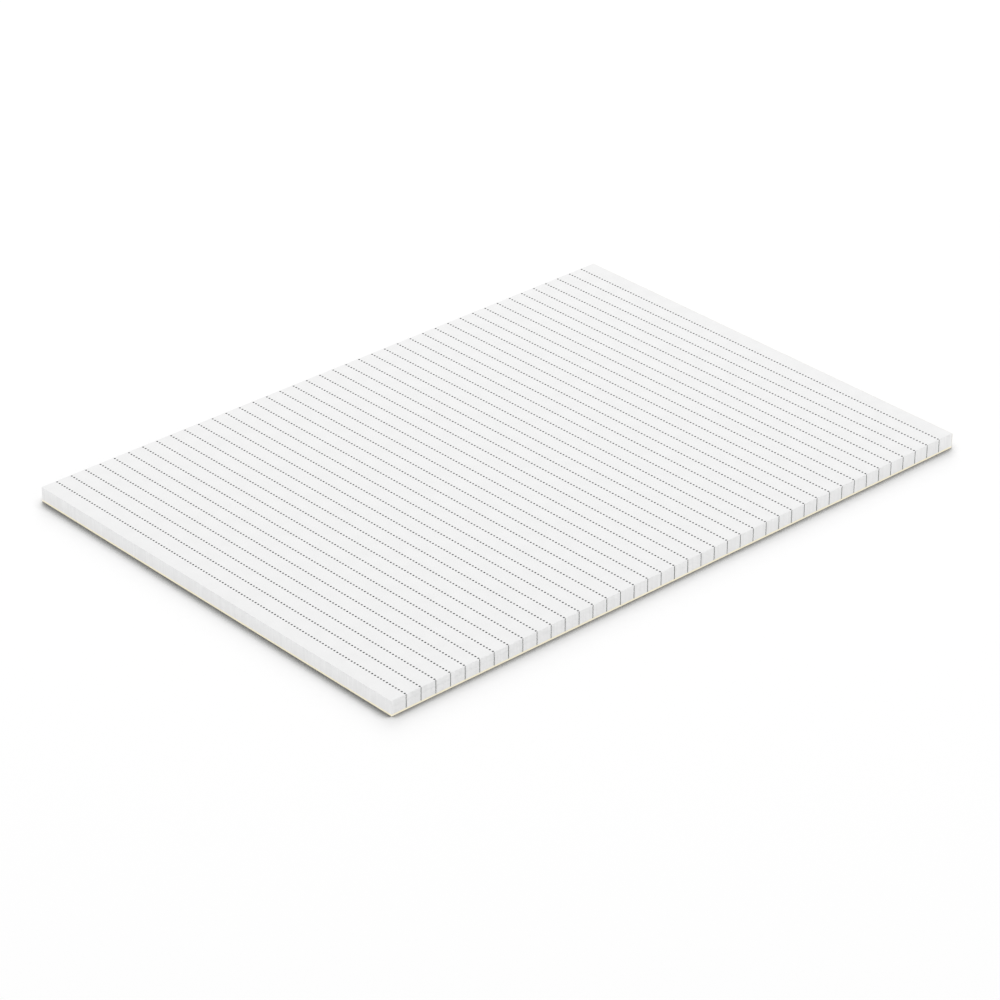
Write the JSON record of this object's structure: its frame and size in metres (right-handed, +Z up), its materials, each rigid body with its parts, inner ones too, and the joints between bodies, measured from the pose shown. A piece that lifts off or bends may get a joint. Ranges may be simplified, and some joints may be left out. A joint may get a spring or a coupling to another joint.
{
  "type": "legal pad",
  "caption": "Glued A4 writing pad lying flat: a block of white sheets with dotted ruling on a cream card back, bound with glue along the head.",
  "frame": {"origin": "middle of the footprint, at the height of the surface that the pad lies on", "axes": "+X across the sheet along its ruled lines, +Y from the foot to the glued head, +Z up out of the writing face"},
  "size_m": [0.21, 0.2974, 0.0065],
  "materials": {
    "sheets": "uncoated",
    "board": "uncoated",
    "glue": "satin"
  },
  "bodies": {
    "root": {"sheet_block": "sheets", "backing_board": "board", "glue_binding": "glue"}
  },
  "joints": []
}
